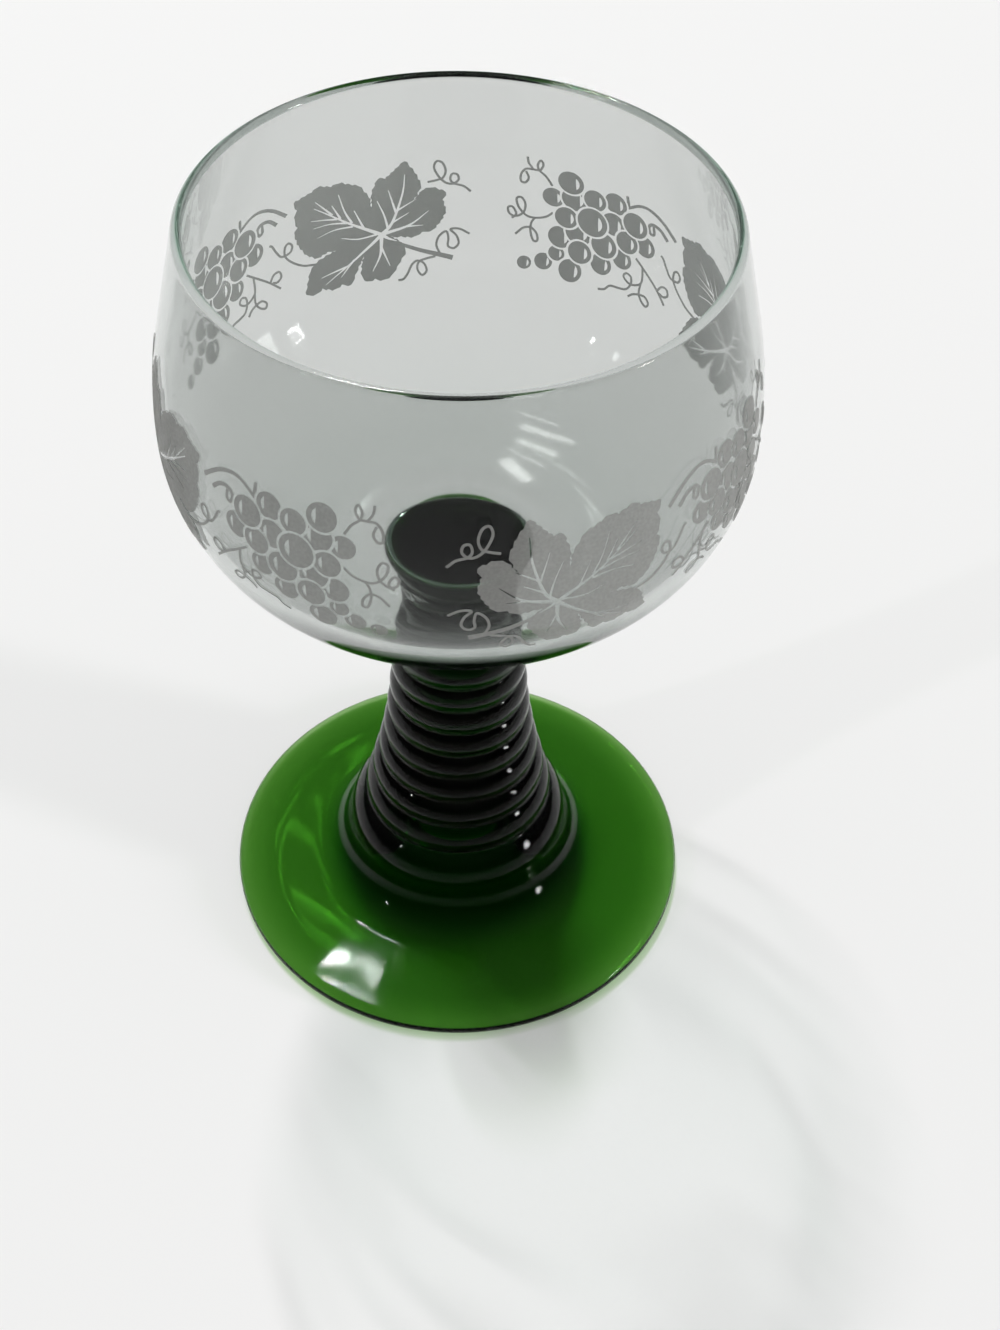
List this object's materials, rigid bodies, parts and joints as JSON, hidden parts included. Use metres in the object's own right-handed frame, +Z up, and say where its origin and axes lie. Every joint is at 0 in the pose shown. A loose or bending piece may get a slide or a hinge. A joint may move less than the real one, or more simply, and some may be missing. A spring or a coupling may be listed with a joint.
{
  "type": "roemer glass",
  "caption": "Stemmed wine glass with a round clear bowl, a frosted vine-leaf and grape print, a ringed dark green stem and a wide green foot.",
  "frame": {"origin": "on the table under the middle of the foot", "axes": "+Z up the glass's own axis; a leaf's middle is at azimuth -73 degrees from +X"},
  "size_m": [0.0764, 0.0764, 0.12],
  "materials": {
    "clear_glass": "clear polished glass",
    "green_glass": "polished green glass, dark where it is thick",
    "frosted_print": "matt fired-on frost"
  },
  "bodies": {
    "root": {"bowl": "clear_glass", "stem": "green_glass", "foot": "green_glass", "leaf_1": "frosted_print", "leaf_2": "frosted_print", "leaf_3": "frosted_print", "leaf_4": "frosted_print", "grapes_1": "frosted_print", "grapes_2": "frosted_print", "grapes_3": "frosted_print", "grapes_4": "frosted_print"}
  },
  "joints": []
}
